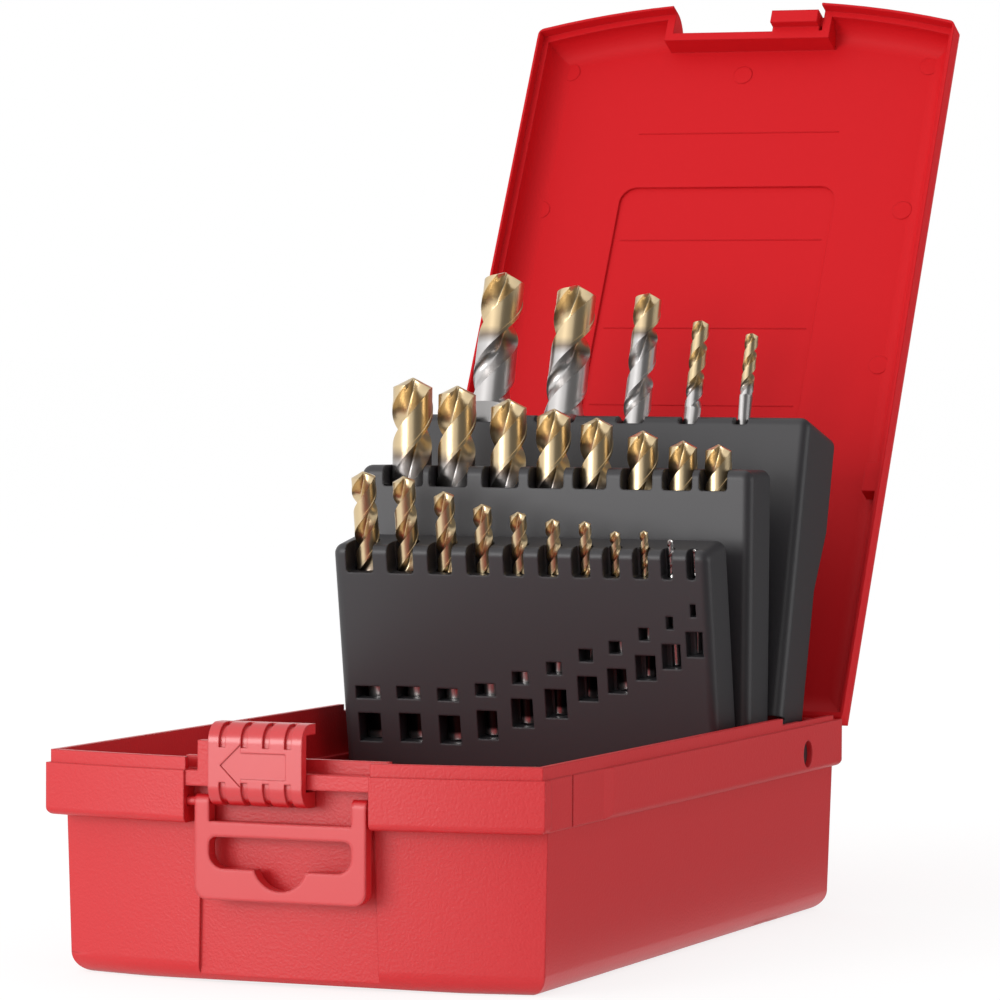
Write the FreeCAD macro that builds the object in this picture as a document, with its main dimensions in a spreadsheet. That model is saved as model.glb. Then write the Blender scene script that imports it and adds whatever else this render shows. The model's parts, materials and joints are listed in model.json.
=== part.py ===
import FreeCAD, Part
import math
import os
import re
import Sketcher

os.makedirs("parts", exist_ok=True)
doc = FreeCAD.newDocument("DrillBitCase")
sheet = doc.addObject("Spreadsheet::Sheet", "Sizes")

# Driving dimensions, in millimetres and degrees, from the middle of the tray's underside
# X runs to the right, Y to the hinge and Z up
SIZES = {
    # Outline that the tray and the lid share
    "case_width": 117.0,
    "case_depth": 199.2,
    "front_bow": 7.5,
    "wall": 2.2,
    "overrun": 1.0,
    # Tray
    "floor_thickness": 2.4,
    "collar_bottom": 35.1,
    "collar_top": 46.5,
    "collar_edge": 1.6,
    "side_set_back": 1.9,
    "front_set_back": 6.4,
    "wall_draft": 0.9,
    "base_edge": 4.6,
    "ledge_height": 37.3,
    "rim_top": 49.3,
    "rim_set_back": 0.8,
    "rim_thickness": 1.4,
    "low_rim_height": 1.2,
    "rim_step_share": 0.2851,
    "panel_left": 22.0,
    "panel_right": 20.4,
    "panel_depth": 0.8,
    "arch_half_width": 40.0,
    "arch_height": 0.8,
    "arch_reach": 22.0,
    "grip_recess_depth": 0.5,
    "grip_recess_inset": 3.6,
    "grip_recess_length": 32.2,
    "grip_recess_ramp": 4.9,
    "grip_groove_inset": 17.2,
    "grip_groove_width": 0.8,
    "grip_groove_depth": 0.25,
    # Latch notch, rail and stop
    "notch_left": 22.2,
    "notch_right": 20.9,
    "notch_cheek": 2.2,
    "rail_bottom": 43.2,
    "rail_height": 3.3,
    "rail_inset": 4.5,
    "rail_thickness": 2.9,
    "stop_left": 19.2,
    "stop_width": 2.8,
    "stop_top": 53.0,
    # Sliding latch
    "latch_middle": -4.45,
    "latch_half_width": 10.95,
    "latch_bottom": 39.2,
    "latch_top": 57.1,
    "latch_proud": 1.3,
    "latch_plate": 2.4,
    "latch_depth": 7.2,
    "latch_bottom_lip": 3.5,
    "latch_top_lip": 2.3,
    "hook_thickness": 1.0,
    "hook_top": 44.8,
    "latch_corner": 4.2,
    "grip_width": 1.5,
    "grip_depth": 0.7,
    "grip_pitch": 5.1,
    "grip_count": 4,
    "grip_reach": 1.0,
    "arrow_tip": 8.15,
    "arrow_shoulder": 3.4,
    "arrow_end": 7.15,
    "arrow_height": 48.0,
    "arrow_half_height": 4.6,
    "arrow_shaft_half_height": 2.8,
    "arrow_depth": 0.3,
    # Hanging tab
    "tab_half_width": 20.0,
    "tab_bottom": 18.8,
    "tab_inset": 1.9,
    "tab_thickness": 3.2,
    "tab_pivot_drop": 3.4,
    "tab_arm": 3.4,
    "tab_slot_bottom": 25.6,
    "tab_slot_top": 32.4,
    "tab_bar_top": 35.7,
    "tab_slot_corner": 1.6,
    "tab_slot_low_corner": 3.4,
    "tab_corner": 3.0,
    "tab_hang_half_width": 6.0,
    "tab_hang_depth": 4.4,
    "tab_pin_radius": 1.0,
    "tab_pin_length": 1.8,
    # Clearances
    "running_clearance": 0.08,
    "side_clearance": 0.3,
    "seat_clearance": 0.15,
    # Lid and its hinges
    "lid_open": 117.3,
    "lid_height": 11.85,
    "lid_edge": 8.0,
    "lid_corner": 2.0,
    "lid_back_edge": 10.6,
    "lid_lip_height": 3.1,
    "lid_hinge_bevel": 1.0,
    "lid_notch_half_width": 20.9,
    "lid_notch_depth": 7.6,
    "keeper_left": 7.0,
    "keeper_width": 13.0,
    "keeper_depth": 4.9,
    "keeper_bottom": 47.2,
    "keeper_top": 54.4,
    "keeper_gap": 0.5,
    "lid_panel_width_share": 0.2564,
    "lid_panel_front_share": 0.2811,
    "lid_panel_back_share": 0.2008,
    "lid_panel_depth": 0.7,
    "lid_panel_corner": 4.5,
    "lid_lug_place_share": 0.1581,
    "lid_lug_length": 8.0,
    "lid_lug_height": 5.0,
    "lid_lug_width": 3.5,
    "hinge_inset": 0.3,
    "hinge_place_share": 0.2906,
    "hinge_half_length": 12.0,
    "knuckle_half_length": 6.0,
    "knuckle_radius": 2.1,
    "pin_radius": 1.0,
    # Holders, which pivot on the tray's side walls
    "front_pivot_inset": 49.2,
    "front_pivot_height": 10.1,
    "front_tilt": 10.0,
    "front_half_thickness": 6.3,
    "front_width_share": 0.41026,
    "front_top": 82.0,
    "front_slot_floor": 75.2,
    "front_foot": 28.0,
    "front_wall": 2.3,
    "middle_pivot_inset": 40.8,
    "middle_pivot_height": 24.0,
    "middle_tilt": -0.8,
    "middle_half_thickness": 6.8,
    "middle_width_share": 0.43333,
    "middle_top": 84.4,
    "middle_slot_floor": 79.3,
    "middle_foot": 13.4,
    "middle_wall": 1.5,
    "back_pivot_inset": 26.1,
    "back_pivot_height": 39.75,
    "back_tilt": -15.5,
    "back_half_thickness": 8.0,
    "back_width_share": 0.45641,
    "back_top": 82.1,
    "back_slot_floor": 79.8,
    "back_foot": 7.5,
    "back_wall": 2.0,
    "head_depth": 5.2,
    "head_height": 24.0,
    "head_slope": 16.0,
    "holder_corner": 2.6,
    "holder_edge": 2.2,
    "ear_thickness": 2.4,
    "ear_radius": 4.8,
    "pivot_radius": 2.6,
    "collar_pivot_radius": 3.17,
    "collar_pivot_recess": 1.3,
    "boss_radius": 4.0,
    "lead_in_width": 5.0,
    "lead_in_depth": 0.8,
    "holder_lug_width": 2.5,
    "holder_lug_length": 8.0,
    "holder_lug_height": 0.7,
    "holder_lug_place": 62.0,
    "window_pitch": 3.6,
    "upper_window_height": 3.05,
    "slot_corner": 0.8,
    # Drills
    "drill_clearance": 0.3,
    "slot_clearance": 0.5,
    "helix_angle": 37.0,
    "point_angle": 135.0,
    "drill_turn": 20.0,
    "land_angle": 42.0,
    "land_share": 0.985,
    "web_share": 0.36,
    "flute_steps": 12,
}

# One row for each drill: its size, its place as a share of the holder's half width, the height of its
# pocket's floor, its length and its flutes' length
FRONT_DRILLS = (
    ("6_0", 6.0, -0.8542, 33.5, 65.5, 28.0),
    ("5_5", 5.5, -0.6333, 33.7, 64.3, 28.0),
    ("5_0", 5.0, -0.4188, 33.5, 61.0, 26.0),
    ("4_5", 4.5, -0.2146, 35.0, 56.6, 24.0),
    ("4_0", 4.0, -0.0229, 38.2, 51.7, 22.0),
    ("3_5", 3.5, 0.1604, 40.8, 47.6, 20.0),
    ("3_0", 3.0, 0.3333, 45.2, 42.8, 16.0),
    ("2_5", 2.5, 0.4917, 47.3, 38.5, 14.0),
    ("2_0", 2.0, 0.6458, 50.7, 35.4, 12.0),
    ("1_5", 1.5, 0.7833, 53.6, 30.6, 9.0),
    ("1_0", 1.0, 0.9083, 56.7, 25.3, 6.0),
)
MIDDLE_DRILLS = (
    ("10_0", 10.0, -0.7850, 17.0, 89.0, 43.0),
    ("9_5", 9.5, -0.5503, 20.1, 84.0, 40.0),
    ("9_0", 9.0, -0.2801, 17.0, 84.0, 40.0),
    ("8_5", 8.5, -0.0454, 19.7, 79.0, 37.0),
    ("8_0", 8.0, 0.1775, 17.6, 79.0, 37.0),
    ("7_5", 7.5, 0.4142, 19.6, 74.0, 34.0),
    ("7_0", 7.0, 0.6193, 17.3, 74.0, 34.0),
    ("6_5", 6.5, 0.7988, 20.5, 70.0, 31.0),
)
BACK_DRILLS = (
    ("10_5", 10.5, -0.6292, 32.0, 89.0, 29.0),
    ("10_2", 10.2, -0.2547, 28.6, 89.0, 28.5),
    ("6_8", 6.8, 0.1199, 41.0, 74.0, 34.0),
    ("4_2", 4.2, 0.4026, 52.6, 55.0, 22.0),
    ("3_3", 3.3, 0.6610, 55.2, 49.0, 14.0),
)

# Widths of each front pocket's slot, upper window and lower window, and the lower window's height
FRONT_WINDOWS = (
    ("6_0", 7.0, 6.4, 5.8, 7.0),
    ("5_5", 6.8, 6.1, 5.6, 7.0),
    ("5_0", 6.2, 5.5, 5.5, 7.0),
    ("4_5", 5.8, 5.2, 5.2, 7.0),
    ("4_0", 5.2, 4.2, 5.5, 7.0),
    ("3_5", 5.0, 3.9, 5.5, 7.0),
    ("3_0", 4.6, 3.5, 5.0, 6.0),
    ("2_5", 4.2, 3.2, 4.8, 6.0),
    ("2_0", 3.9, 2.6, 5.1, 6.0),
    ("1_5", 2.9, 1.8, 4.7, 6.0),
    ("1_0", 2.1, 1.4, 4.3, 6.0),
)

HOLDERS = (("front", FRONT_DRILLS), ("middle", MIDDLE_DRILLS), ("back", BACK_DRILLS))

# Places that follow from the sizes
PLACES = {
    "rim_step_place": "case_depth * rim_step_share",
    "grip_recess_start": "case_depth / 2 - grip_recess_inset",
    "grip_recess_end": "case_depth / 2 - grip_recess_inset - grip_recess_length",
    "grip_groove_place": "case_depth / 2 - grip_groove_inset",
    "rail_back": "case_depth / 2 + front_bow - rail_inset",
    "latch_front": "case_depth / 2 + front_bow + latch_proud",
    "latch_back": "case_depth / 2 + front_bow + latch_proud - latch_depth",
    "tab_front": "case_depth / 2 + front_bow - tab_inset",
    "tab_pivot_height": "rail_bottom - tab_pivot_drop",
    "lid_panel_half_width": "case_width * lid_panel_width_share",
    "lid_panel_front": "case_depth * lid_panel_front_share",
    "lid_panel_back": "case_depth * lid_panel_back_share",
    "lid_lug_place": "case_depth * lid_lug_place_share",
    "hinge_back": "case_depth / 2 - hinge_inset",
    "hinge_place": "case_width * hinge_place_share",
}

for holder, drills in HOLDERS:
    PLACES[holder + "_pivot_back"] = "case_depth / 2 - %s_pivot_inset" % holder
    PLACES[holder + "_half_width"] = "case_width * %s_width_share" % holder
    for mark, size, share, floor, length, flute in drills:
        SIZES["drill_%s_size" % mark] = size
        SIZES["drill_%s_place_share" % mark] = share
        PLACES["drill_%s_place" % mark] = "%s_half_width * drill_%s_place_share" % (holder, mark)
        SIZES["drill_%s_floor" % mark] = floor
        SIZES["drill_%s_length" % mark] = length
        SIZES["drill_%s_flute" % mark] = flute
for mark, slot, upper, lower, height in FRONT_WINDOWS:
    SIZES["slot_%s_width" % mark] = slot
    SIZES["upper_%s_width" % mark] = upper
    SIZES["lower_%s_width" % mark] = lower
    SIZES["lower_%s_height" % mark] = height

for row, (name, value) in enumerate(SIZES.items(), 1):
    sheet.set("A%d" % row, name)
    sheet.set("B%d" % row, str(value))
    sheet.setAlias("B%d" % row, name)
for row, (name, value) in enumerate(PLACES.items(), 1):
    sheet.set("D%d" % row, name)
    sheet.setAlias("E%d" % row, name)
    sheet.set("E%d" % row, "=" + value)
doc.recompute()

# Drawing helpers


def bound(text):
    """The expression with every size's name led by the sheet's name."""
    def lead(found):
        word = found.group(0)
        return "Sizes." + word if word in SIZES or word in PLACES else word
    return re.sub(r"[a-z][a-z_0-9]*", lead, text)


def number(text):
    """What the expression comes to now."""
    return float(sheet.evalExpression(bound(text)))


def origin_plane(body, role):
    return [feature for feature in body.Origin.OriginFeatures if feature.Role == role][0]


def arc_between(start, end, radius, side):
    """The arc of the given radius from start to end, with its centre on the given side."""
    middle = (start + end) * 0.5
    chord = end - start
    half = chord.Length / 2
    across = FreeCAD.Vector(-chord.y, chord.x, 0).normalize()
    reach = math.sqrt(max(radius * radius - half * half, 0))
    centre = middle + across * (reach * side)
    crest = centre - across * (radius * side)
    return Part.Arc(start, crest, end) if side > 0 else Part.Arc(end, crest, start)


def draw_loop(drawn, corners):
    """Draws a closed loop. A corner with a radius and a side starts an arc, the others a line."""
    first = drawn.GeometryCount
    count = len(corners)
    points = [FreeCAD.Vector(number(corner[0]), number(corner[1]), 0) for corner in corners]
    shapes = []
    for here, corner in enumerate(corners):
        there = (here + 1) % count
        if len(corner) == 2:
            shapes.append(Part.LineSegment(points[here], points[there]))
        else:
            shapes.append(arc_between(points[here], points[there], number(corner[2]), corner[3]))
    drawn.addGeometry(shapes, False)

    def end_at(index, point):
        line = drawn.Geometry[index]
        return 1 if line.StartPoint.distanceToPoint(point) < line.EndPoint.distanceToPoint(point) else 2

    rules = []
    sources = []
    for here, corner in enumerate(corners):
        there = (here + 1) % count
        this = first + here
        following = first + there
        joint = points[there]
        rules.append(Sketcher.Constraint(
            "Coincident", this, end_at(this, joint), following, end_at(following, joint)))
        sources.append(None)
        for kind, text, value in (("DistanceX", corner[0], points[here].x), ("DistanceY", corner[1], points[here].y)):
            rules.append(Sketcher.Constraint(kind, -1, 1, this, end_at(this, points[here]), value))
            sources.append(text)
        if len(corner) > 2:
            rules.append(Sketcher.Constraint("Radius", this, number(corner[2])))
            sources.append(corner[2])
    placed = drawn.addConstraint(rules)
    for index, text in zip(placed, sources):
        if text is not None:
            drawn.setExpression("Constraints[%d]" % index, bound(text))


def prism(name, plane, loops, start, length, taper=None):
    """A body padded from a sketch on one of its origin planes, lifted along the plane's normal."""
    body = doc.addObject("PartDesign::Body", name)
    drawn = body.newObject("Sketcher::SketchObject", name + "_outline")
    drawn.AttachmentSupport = [(origin_plane(body, plane), "")]
    drawn.MapMode = "FlatFace"
    drawn.setExpression("AttachmentOffset.Base.z", bound(start))
    for corners in loops:
        draw_loop(drawn, corners)
    pad = body.newObject("PartDesign::Pad", name + "_pad")
    pad.Profile = drawn
    pad.setExpression("Length", bound(length))
    if taper is not None:
        pad.setExpression("TaperAngle", bound(taper))
    doc.recompute()
    return body


def round_edges(body, radius, chosen):
    """Rounds the edges of the body's last feature that chosen picks."""
    base = body.Tip
    names = ["Edge%d" % (index + 1) for index, edge in enumerate(base.Shape.Edges) if chosen(edge)]
    rounded = body.newObject("PartDesign::Fillet", base.Name + "_rounded")
    rounded.Base = (base, names)
    rounded.setExpression("Radius", bound(radius))
    body.Tip = rounded
    doc.recompute()
    return rounded


def upright(edge):
    """Whether the edge rises from the lower face to the upper one, or nearly so."""
    box = edge.BoundBox
    return box.ZLength > 2 * max(box.XLength, box.YLength)


def level_at(height):
    """A test for edges that lie flat at the height."""
    def chosen(edge):
        box = edge.BoundBox
        return box.ZLength < number("overrun") / 100 and abs(box.ZMin - height) < number("overrun") / 100
    return chosen


def block(name, across, along, up):
    """A box between two places on each axis."""
    made = doc.addObject("Part::Box", name)
    for side, axis, (low, high) in (("Length", "x", across), ("Width", "y", along), ("Height", "z", up)):
        made.setExpression(side, bound("(%s) - (%s)" % (high, low)))
        made.setExpression("Placement.Base." + axis, bound(low))
    return made


def rod(name, radius, across, along, up):
    """A cylinder along the axis that is given two places."""
    made = doc.addObject("Part::Cylinder", name)
    made.setExpression("Radius", bound(radius))
    turns = (("x", across, FreeCAD.Vector(0, 1, 0), 90), ("y", along, FreeCAD.Vector(1, 0, 0), -90),
             ("z", up, FreeCAD.Vector(0, 0, 1), 0))
    for axis, place, about, angle in turns:
        if isinstance(place, tuple):
            made.Placement = FreeCAD.Placement(FreeCAD.Vector(0, 0, 0), FreeCAD.Rotation(about, angle))
            made.setExpression("Height", bound("(%s) - (%s)" % (place[1], place[0])))
            made.setExpression("Placement.Base." + axis, bound(place[0]))
        else:
            made.setExpression("Placement.Base." + axis, bound(place))
    return made


def joined(name, pieces):
    made = doc.addObject("Part::MultiFuse", name)
    made.Shapes = pieces
    return made


def common(name, pieces):
    made = doc.addObject("Part::MultiCommon", name)
    made.Shapes = pieces
    return made


def without(name, base, tools):
    """The base with the tools cut out of it."""
    made = doc.addObject("Part::Cut", name)
    made.Base = base
    made.Tool = joined(name + "_tools", tools) if len(tools) > 1 else tools[0]
    return made


def mirrored(text):
    return "-(%s)" % text


def both_sides(make, name, low, high):
    """Makes the piece on the right and on the left, between low and high out from the middle."""
    right = make(name + "_right", (low, high))
    left = make(name + "_left", (mirrored(high), mirrored(low)))
    return [right, left]


def bowed_outline(half_width, front, back):
    """The case's plan, straight at the sides and the back and bowed at the front."""
    radius = "((%s)^2 + front_bow^2) / (2 * front_bow)" % half_width
    return [
        (mirrored(half_width), mirrored(front), radius, 1),
        (half_width, mirrored(front)),
        (half_width, back),
        (mirrored(half_width), back),
    ]


def finished(made, name, placement=None):
    """Names a finished sub-part and places it."""
    made.Label = name
    if placement is not None:
        made.setExpression("Placement", bound(placement))
    return made


nodes = []

# Base tray: a drafted lower box, a wider collar, a rim, bosses, a latch notch and a rail

wall_half = "(case_width / 2 - side_set_back)"
wall_front = "(case_depth / 2 - front_set_back)"
wall_back = "(case_depth / 2 - side_set_back)"
drafted = "-atan(wall_draft / collar_bottom)"
widening = "atan(wall_draft / collar_bottom)"
notch_back = "(case_depth / 2 - front_set_back + front_bow)"

lower_outline = bowed_outline(
    wall_half + " - wall_draft", wall_front + " - wall_draft", wall_back + " - wall_draft")
lower_box = prism("lower_box", "XY_Plane", [lower_outline], "0", "collar_bottom", widening)
round_edges(lower_box, "base_edge", level_at(0))

collar = prism(
    "collar", "XY_Plane", [bowed_outline("case_width / 2", "case_depth / 2", "case_depth / 2")],
    "collar_bottom", "collar_top - collar_bottom")
round_edges(collar, "collar_edge", level_at(number("collar_bottom")))

rim_outer = "(case_width / 2 - rim_set_back)"
rim_front = "(case_depth / 2 - rim_set_back)"
rim_inner = "(case_width / 2 - rim_set_back - rim_thickness)"
rim_inner_front = "(case_depth / 2 - rim_set_back - rim_thickness)"


def rim_outline(back):
    """The rim's plan, open at the back, where it stops at the given place."""
    outer = "(%s^2 + front_bow^2) / (2 * front_bow)" % rim_outer
    inner = "(%s^2 + front_bow^2) / (2 * front_bow)" % rim_inner
    return [
        (mirrored(rim_outer), mirrored(rim_front), outer, 1),
        (rim_outer, mirrored(rim_front)),
        (rim_outer, back),
        (rim_inner, back),
        (rim_inner, mirrored(rim_inner_front), inner, -1),
        (mirrored(rim_inner), mirrored(rim_inner_front)),
        (mirrored(rim_inner), back),
        (mirrored(rim_outer), back),
    ]


high_rim = prism(
    "high_rim", "XY_Plane", [rim_outline("rim_step_place")],
    "collar_top - overrun", "rim_top - collar_top + overrun")
low_rim = prism(
    "low_rim", "XY_Plane", [rim_outline("case_depth / 2 - 2 * wall")],
    "collar_top - overrun", "low_rim_height + overrun")

lower_cavity = prism(
    "lower_cavity", "XY_Plane",
    [bowed_outline(wall_half + " - wall_draft - wall", wall_front + " - wall_draft - wall",
                   wall_back + " - wall_draft - wall")],
    "floor_thickness", "collar_bottom - floor_thickness + overrun", widening)

throat = prism(
    "throat", "XY_Plane",
    [bowed_outline(wall_half + " - wall", wall_front + " - wall", wall_back + " - wall")],
    "collar_bottom", "ledge_height - collar_bottom + overrun")
upper_cavity = prism(
    "upper_cavity", "XY_Plane",
    [bowed_outline("case_width / 2 - wall", "case_depth / 2 - wall", "case_depth / 2 - wall")],
    "ledge_height", "rim_top - ledge_height + overrun")

# The latch notch has a wall behind it and a cheek on each side
notch_wall = block(
    "notch_wall", ("-notch_left - notch_cheek", "notch_right + notch_cheek"),
    (mirrored("case_depth / 2 + front_bow - wall"), mirrored(notch_back + " - wall")),
    ("collar_bottom + overrun", "collar_top"))
notch_rim = block(
    "notch_rim", ("-notch_left - notch_cheek", "notch_right + notch_cheek"),
    (mirrored(notch_back + " - rim_set_back / 2"), mirrored(notch_back + " - wall")),
    ("collar_top - overrun", "rim_top"))
notch = block(
    "notch", ("-notch_left", "notch_right"),
    (mirrored("latch_front + overrun"), mirrored(notch_back)),
    ("collar_bottom - overrun", "rim_top + overrun"))
rail = block(
    "rail", ("-notch_left - notch_cheek / 2", "notch_right + notch_cheek / 2"),
    (mirrored("rail_back + rail_thickness"), mirrored("rail_back")),
    ("rail_bottom", "rail_bottom + rail_height"))
stop_lug = block(
    "stop_lug", ("-stop_left", "-stop_left + stop_width"),
    (mirrored("rail_back + rail_thickness"), mirrored("rail_back")),
    ("rail_bottom", "stop_top"))

# The front wall has a sunk panel below the notch and an arch between its feet
panel_radius = "((%s)^2 + front_bow^2) / (2 * front_bow)" % (wall_half + " - wall_draft")


def panel_corner(reach):
    """How far forward the panel's face is at a place out from the middle."""
    return "(%s + front_bow - wall_draft - panel_depth - (%s - sqrt((%s)^2 - (%s)^2)))" % (
        wall_front, panel_radius, panel_radius, reach)


front_panel = prism(
    "front_panel", "XY_Plane",
    [[
        ("-panel_left", mirrored(panel_corner("panel_left")), panel_radius, 1),
        ("panel_right", mirrored(panel_corner("panel_right"))),
        ("panel_right", mirrored("latch_front")),
        ("-panel_left", mirrored("latch_front")),
    ]],
    "-overrun", "collar_bottom + overrun", drafted)
foot_arch = prism(
    "foot_arch", "XZ_Plane",
    [[
        ("-arch_half_width", "0", "(arch_half_width^2 + arch_height^2) / (2 * arch_height)", -1),
        ("arch_half_width", "0"),
        ("arch_half_width", "-overrun"),
        ("-arch_half_width", "-overrun"),
    ]],
    "latch_front - arch_reach", "arch_reach + overrun")

# The collar's sides are sunk from the front corner to a ramp, with one groove across


def grip_recess(name, side):
    """The cutter of one side's recess and groove, on the right with side 1 and on the left with -1."""
    outside = "%d * (case_width / 2 + overrun)" % side
    face = "%d * (case_width / 2)" % side
    sunk = "%d * (case_width / 2 - grip_recess_depth)" % side
    deep = "%d * (case_width / 2 - grip_recess_depth - grip_groove_depth)" % side
    groove_front = mirrored("grip_groove_place + grip_groove_width / 2")
    groove_back = mirrored("grip_groove_place - grip_groove_width / 2")
    return prism(
        name, "XY_Plane",
        [[
            (outside, mirrored("grip_recess_start")),
            (sunk, mirrored("grip_recess_start")),
            (sunk, groove_front),
            (deep, groove_front),
            (deep, groove_back),
            (sunk, groove_back),
            (sunk, mirrored("grip_recess_end")),
            (face, mirrored("grip_recess_end - grip_recess_ramp")),
            (outside, mirrored("grip_recess_end - grip_recess_ramp")),
        ]],
        "collar_bottom - overrun", "collar_top - collar_bottom + 2 * overrun")


grip_recesses = [grip_recess("grip_recess_right", 1), grip_recess("grip_recess_left", -1)]

# Bosses carry the front and middle holders, and a hole in the collar carries the back one


def boss(holder, inner):
    """Bosses inside both side walls, each with a rounded top, and the holes for the trunnions."""
    middle = holder + "_pivot_back"
    height = holder + "_pivot_height"
    outer = wall_half + " - wall_draft - wall / 2"
    posts = both_sides(
        lambda name, across: block(
            name, across, (middle + " - boss_radius", middle + " + boss_radius"),
            ("floor_thickness / 2", height)),
        holder + "_boss_post", inner, outer)
    tops = both_sides(
        lambda name, across: rod(name, "boss_radius", across, middle, height),
        holder + "_boss_top", inner, outer)
    holes = both_sides(
        lambda name, across: rod(name, "pivot_radius + running_clearance", across, middle, height),
        holder + "_boss_hole", inner + " - overrun", outer)
    return posts + tops, holes


front_bosses, front_boss_holes = boss("front", "front_half_width + side_clearance")
middle_bosses, middle_boss_holes = boss("middle", "middle_half_width + side_clearance")
collar_holes = both_sides(
    lambda name, across: rod(
        name, "collar_pivot_radius + running_clearance", across, "back_pivot_back", "back_pivot_height"),
    "collar_hole", "case_width / 2 - 2 * wall", "case_width / 2 + overrun")
lead_ins = both_sides(
    lambda name, across: block(
        name, across, ("back_pivot_back - lead_in_width / 2", "back_pivot_back + lead_in_width / 2"),
        ("back_pivot_height", "rim_top + overrun")),
    "lead_in", "case_width / 2 - 2 * wall", "case_width / 2 - wall + lead_in_depth")

# Two moulded hinges, each a lid knuckle between two tray knuckles


def hinge_rods(name, radius, middle, low, high):
    """A cylinder on the hinge's axis between two places along it."""
    return rod(name, radius, ("%s + %s" % (middle, low), "%s + %s" % (middle, high)), "hinge_back", "collar_top")


tray_knuckles = []
lid_knuckles = []
knuckle_gaps_in_tray = []
knuckle_gaps_in_lid = []
tray_pin_holes = []
lid_pin_holes = []
for side, middle in (("left", "-hinge_place"), ("right", "hinge_place")):
    inner_end = "knuckle_half_length"
    outer_end = "hinge_half_length"
    for end, low, high in (("near", mirrored(outer_end), mirrored(inner_end + " + side_clearance")),
                           ("far", inner_end + " + side_clearance", outer_end)):
        label = "%s_%s" % (side, end)
        tray_knuckles.append(hinge_rods("tray_knuckle_" + label, "knuckle_radius", middle, low, high))
        knuckle_gaps_in_lid.append(hinge_rods(
            "lid_relief_" + label, "knuckle_radius + side_clearance", middle,
            low + " - side_clearance", high + " + side_clearance"))
        tray_pin_holes.append(hinge_rods(
            "tray_pin_hole_" + label, "pin_radius", middle, low + " - overrun", high + " + overrun"))
    lid_knuckles.append(hinge_rods(
        "lid_knuckle_" + side, "knuckle_radius", middle, mirrored(inner_end), inner_end))
    knuckle_gaps_in_tray.append(hinge_rods(
        "tray_relief_" + side, "knuckle_radius + side_clearance", middle,
        mirrored(inner_end + " + side_clearance"), inner_end + " + side_clearance"))
    lid_pin_holes.append(hinge_rods(
        "lid_pin_hole_" + side, "pin_radius + running_clearance", middle,
        mirrored(outer_end), outer_end))


def tab_rods(name, radius, inner_left, inner_right, end):
    """A cylinder on the tab's axis at each side of the notch, past the notch's sides by the given end."""
    middle = mirrored("tab_front - tab_thickness / 2")
    return [
        rod(name + "_left", radius, ("-notch_left - (%s)" % end, mirrored(inner_left)), middle, "tab_pivot_height"),
        rod(name + "_right", radius, (inner_right, "notch_right + %s" % end), middle, "tab_pivot_height"),
    ]


tab_pin_holes = tab_rods(
    "tab_pin_hole", "tab_pin_radius + running_clearance", "notch_left - overrun", "notch_right - overrun",
    "tab_pin_length + side_clearance")

tray_shell = joined("tray_shell", [lower_box, collar, high_rim, low_rim])
tray_hollow = without("tray_hollow", tray_shell, [lower_cavity, throat, upper_cavity])
tray_filled = joined(
    "tray_filled", [tray_hollow, notch_wall, notch_rim] + front_bosses + middle_bosses)
tray_notched = without(
    "tray_notched", tray_filled,
    [notch, front_panel, foot_arch] + grip_recesses + knuckle_gaps_in_tray)
tray_fitted = joined("tray_fitted", [tray_notched, rail, stop_lug] + tray_knuckles)
tray = without(
    "tray", tray_fitted,
    tab_pin_holes + front_boss_holes + middle_boss_holes + collar_holes + lead_ins + tray_pin_holes)
nodes.append(finished(tray, "base_tray"))

# Lid: drawn closed, then turned open about the hinge

lid_bottom = "(collar_top + seat_clearance)"
lid_front = "(case_depth / 2)"
lid_crown = prism(
    "lid_crown", "XY_Plane", [bowed_outline("case_width / 2", lid_front, "case_depth / 2")],
    lid_bottom, "lid_height")
round_edges(lid_crown, "lid_edge", level_at(number(lid_bottom + " + lid_height")))
lid_sides = prism(
    "lid_sides", "XY_Plane", [bowed_outline("case_width / 2", lid_front, "case_depth / 2")],
    lid_bottom, "lid_height + overrun")
round_edges(lid_sides, "lid_corner", upright)


def back_round(name, inset, crown):
    """A block over the whole lid whose upper back edge is rounded up to the given height."""
    back = "(case_depth / 2 - %s)" % inset
    radius = "(lid_back_edge - %s)" % inset
    front = mirrored("latch_front + overrun")
    return prism(
        name, "YZ_Plane",
        [[
            (front, lid_bottom + " - 2 * overrun"),
            (back, lid_bottom + " - 2 * overrun"),
            (back, "%s - %s" % (crown, radius), radius, 1),
            ("%s - %s" % (back, radius), crown),
            (front, crown),
        ]],
        "-case_width / 2 - overrun", "case_width + 2 * overrun")


lid_outer_round = back_round("lid_outer_round", "0", "(%s + lid_height)" % lid_bottom)
lid_outer = common("lid_outer", [lid_crown, lid_sides, lid_outer_round])
lid_inner = prism(
    "lid_inner", "XY_Plane",
    [bowed_outline("case_width / 2 - wall", lid_front + " - wall", "case_depth / 2 - wall")],
    lid_bottom + " - overrun", "lid_height - wall + overrun")
round_edges(lid_inner, "lid_edge - wall", level_at(number(lid_bottom + " + lid_height - wall")))
lid_inner_round = back_round("lid_inner_round", "wall", "(%s + lid_height - wall)" % lid_bottom)
lid_inside = common("lid_inside", [lid_inner, lid_inner_round])
lip_half = "(case_width / 2 - rim_set_back + seat_clearance)"
lip_front = "(case_depth / 2 - rim_set_back + seat_clearance)"
lid_rebate = prism(
    "lid_rebate", "XY_Plane",
    [bowed_outline(lip_half, lip_front, "case_depth / 2 - wall")],
    lid_bottom + " - overrun", "lid_lip_height + overrun")
lid_notch_back = "(%s + front_bow - lid_notch_depth)" % lid_front
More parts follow.
